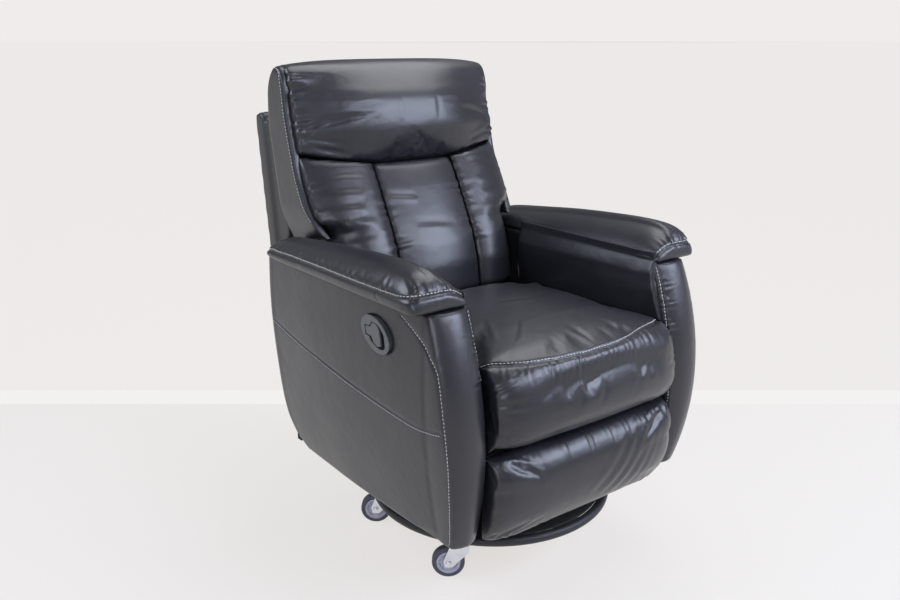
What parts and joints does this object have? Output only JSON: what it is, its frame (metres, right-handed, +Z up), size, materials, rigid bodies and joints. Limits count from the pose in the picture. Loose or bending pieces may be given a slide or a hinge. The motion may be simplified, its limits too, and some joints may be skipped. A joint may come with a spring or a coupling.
{
  "type": "swivel recliner",
  "caption": "Black leather recliner with padded arms, a channelled back, a fold-out footrest on scissor links, a recessed release handle and a ring swivel base on a castor board.",
  "frame": {"origin": "on the floor, under the middle of the chair's overall box", "axes": "+Z up, the sitter faces -Y, +X to the viewer's right when the chair is seen from its front"},
  "size_m": [0.8204, 0.9665, 1.1323],
  "materials": {
    "leather": "smooth semi-gloss",
    "side_leather": "satin",
    "plywood": "raw",
    "frame_wood": "raw",
    "zinc": "zinc plated",
    "mechanism_steel": "black, oiled",
    "ring_paint": "semi-gloss black",
    "bright_steel": "turned",
    "hub_plastic": "moulded",
    "tyre_rubber": "matte grey",
    "handle_plastic": "satin moulded",
    "dust_cloth": "non-woven",
    "webbing": "woven"
  },
  "bodies": {
    "base": {"roller_board": "plywood", "castor_plates": "zinc", "castor_screws": "zinc", "base_ring": "ring_paint", "ring_cover": "dust_cloth", "board_bolts": "zinc", "swivel_post": "mechanism_steel", "bearing_race": "bright_steel", "kingpin": "bright_steel"},
    "chair": {"bearing_plate": "mechanism_steel", "box_rails": "frame_wood", "box_bolts": "zinc", "dust_cover": "dust_cloth", "rear_lower_panel": "side_leather", "lever_bezel": "handle_plastic", "slide_rails": "mechanism_steel", "arm_frame_left": "frame_wood", "arm_frame_right": "frame_wood", "arm_body_left": "side_leather", "arm_body_right": "side_leather", "arm_front_left": "leather", "arm_front_right": "leather", "arm_pad_left": "leather", "arm_pad_right": "leather"},
    "handle": {"lever_paddle": "handle_plastic"},
    "seat": {"mechanism_plates": "mechanism_steel", "seat_frame": "frame_wood", "seat_webbing": "webbing", "seat_cushion": "leather"},
    "rear_links": {"rear_links": "mechanism_steel", "drive_tube": "mechanism_steel"},
    "cross_links": {"cross_links": "mechanism_steel"},
    "carry_links": {"carry_links": "mechanism_steel"},
    "front_links": {"front_links": "mechanism_steel"},
    "tilt_links": {"tilt_links": "mechanism_steel"},
    "footrest": {"footrest_brackets": "mechanism_steel", "footrest_board": "frame_wood", "footrest_cushion": "leather"},
    "back": {"back_frame": "frame_wood", "back_brackets": "mechanism_steel", "lumbar_left": "leather", "lumbar_centre": "leather", "lumbar_right": "leather", "head_cushion": "leather", "back_side_left": "leather", "back_side_right": "leather", "outer_back_panel": "side_leather"},
    "castor_front_left": {"castor_fork_front_left": "zinc"},
    "wheel_front_left": {"castor_hub_front_left": "hub_plastic", "castor_tyre_front_left": "tyre_rubber"},
    "castor_front_right": {"castor_fork_front_right": "zinc"},
    "wheel_front_right": {"castor_hub_front_right": "hub_plastic", "castor_tyre_front_right": "tyre_rubber"},
    "castor_rear_left": {"castor_fork_rear_left": "zinc"},
    "wheel_rear_left": {"castor_hub_rear_left": "hub_plastic", "castor_tyre_rear_left": "tyre_rubber"},
    "castor_rear_right": {"castor_fork_rear_right": "zinc"},
    "wheel_rear_right": {"castor_hub_rear_right": "hub_plastic", "castor_tyre_rear_right": "tyre_rubber"}
  },
  "joints": [
    {"name": "castor_swivel_front_left", "type": "hinge", "parent": "base", "child": "castor_front_left", "pos_m": [-0.186, -0.2292, 0.09], "axis": [0, 0, 1], "continuous": true},
    {"name": "wheel_roll_front_left", "type": "hinge", "parent": "castor_front_left", "child": "wheel_front_left", "pos_m": [-0.20821, -0.21216, 0.0375], "axis": [0.6088, 0.7934, 0], "continuous": true},
    {"name": "castor_swivel_front_right", "type": "hinge", "parent": "base", "child": "castor_front_right", "pos_m": [0.186, -0.2292, 0.09], "axis": [0, 0, 1], "continuous": true},
    {"name": "wheel_roll_front_right", "type": "hinge", "parent": "castor_front_right", "child": "wheel_front_right", "pos_m": [0.16379, -0.21216, 0.0375], "axis": [0.6088, 0.7934, 0], "continuous": true},
    {"name": "castor_swivel_rear_left", "type": "hinge", "parent": "base", "child": "castor_rear_left", "pos_m": [-0.186, 0.0728, 0.09], "axis": [0, 0, 1], "continuous": true},
    {"name": "wheel_roll_rear_left", "type": "hinge", "parent": "castor_rear_left", "child": "wheel_rear_left", "pos_m": [-0.20821, 0.08984, 0.0375], "axis": [0.6088, 0.7934, 0], "continuous": true},
    {"name": "castor_swivel_rear_right", "type": "hinge", "parent": "base", "child": "castor_rear_right", "pos_m": [0.186, 0.0728, 0.09], "axis": [0, 0, 1], "continuous": true},
    {"name": "wheel_roll_rear_right", "type": "hinge", "parent": "castor_rear_right", "child": "wheel_rear_right", "pos_m": [0.16379, 0.08984, 0.0375], "axis": [0.6088, 0.7934, 0], "continuous": true},
    {"name": "chair_swivel", "type": "hinge", "parent": "base", "child": "chair", "pos_m": [0, -0.1082, 0.21], "axis": [0, 0, 1], "continuous": true},
    {"name": "release_handle", "type": "hinge", "parent": "chair", "child": "handle", "pos_m": [-0.3711, -0.19856, 0.61705], "axis": [0, 0.342, -0.9397], "range_deg": [0, 30], "stiffness_Nm_per_rad": 0.05, "springref_deg": -5.73},
    {"name": "seat_slide", "type": "slide", "parent": "chair", "child": "seat", "axis": [0, -0.9598, 0.2807], "range_m": [0, 0.0569]},
    {"name": "back_recline", "type": "hinge", "parent": "chair", "child": "back", "pos_m": [0, 0.1918, 0.53], "axis": [-1, 0, 0], "range_deg": [0, 33]},
    {"name": "footrest_open", "type": "hinge", "parent": "seat", "child": "rear_links", "pos_m": [0, -0.3102, 0.382], "axis": [-1, 0, 0], "range_deg": [0, 57]},
    {"name": "cross_pivot", "type": "hinge", "parent": "rear_links", "child": "cross_links", "pos_m": [0, -0.32412, 0.2941], "axis": [-1, 0, 0], "range_deg": [-114, 0]},
    {"name": "carry_pivot", "type": "hinge", "parent": "rear_links", "child": "carry_links", "pos_m": [0, -0.33804, 0.20619], "axis": [-1, 0, 0], "range_deg": [-114, 0]},
    {"name": "front_pivot", "type": "hinge", "parent": "cross_links", "child": "front_links", "pos_m": [0, -0.33804, 0.382], "axis": [-1, 0, 0], "range_deg": [0, 114]},
    {"name": "tilt_pivot", "type": "hinge", "parent": "front_links", "child": "tilt_links", "pos_m": [0, -0.35677, 0.26377], "axis": [-1, 0, 0], "range_deg": [-112.24, 0]},
    {"name": "footrest_pivot", "type": "hinge", "parent": "carry_links", "child": "footrest", "pos_m": [0, -0.36589, 0.382], "axis": [-1, 0, 0], "range_deg": [0, 137.01]}
  ],
  "couplings": [
    {"joint": "seat_slide", "follows": "back_recline", "m_per_rad": 0.09879},
    {"joint": "cross_pivot", "follows": "footrest_open", "ratio": -2},
    {"joint": "carry_pivot", "follows": "footrest_open", "ratio": -2},
    {"joint": "front_pivot", "follows": "footrest_open", "ratio": 2},
    {"joint": "tilt_pivot", "follows": "footrest_open", "ratio": -1.9689},
    {"joint": "footrest_pivot", "follows": "footrest_open", "ratio": 2.4035}
  ]
}
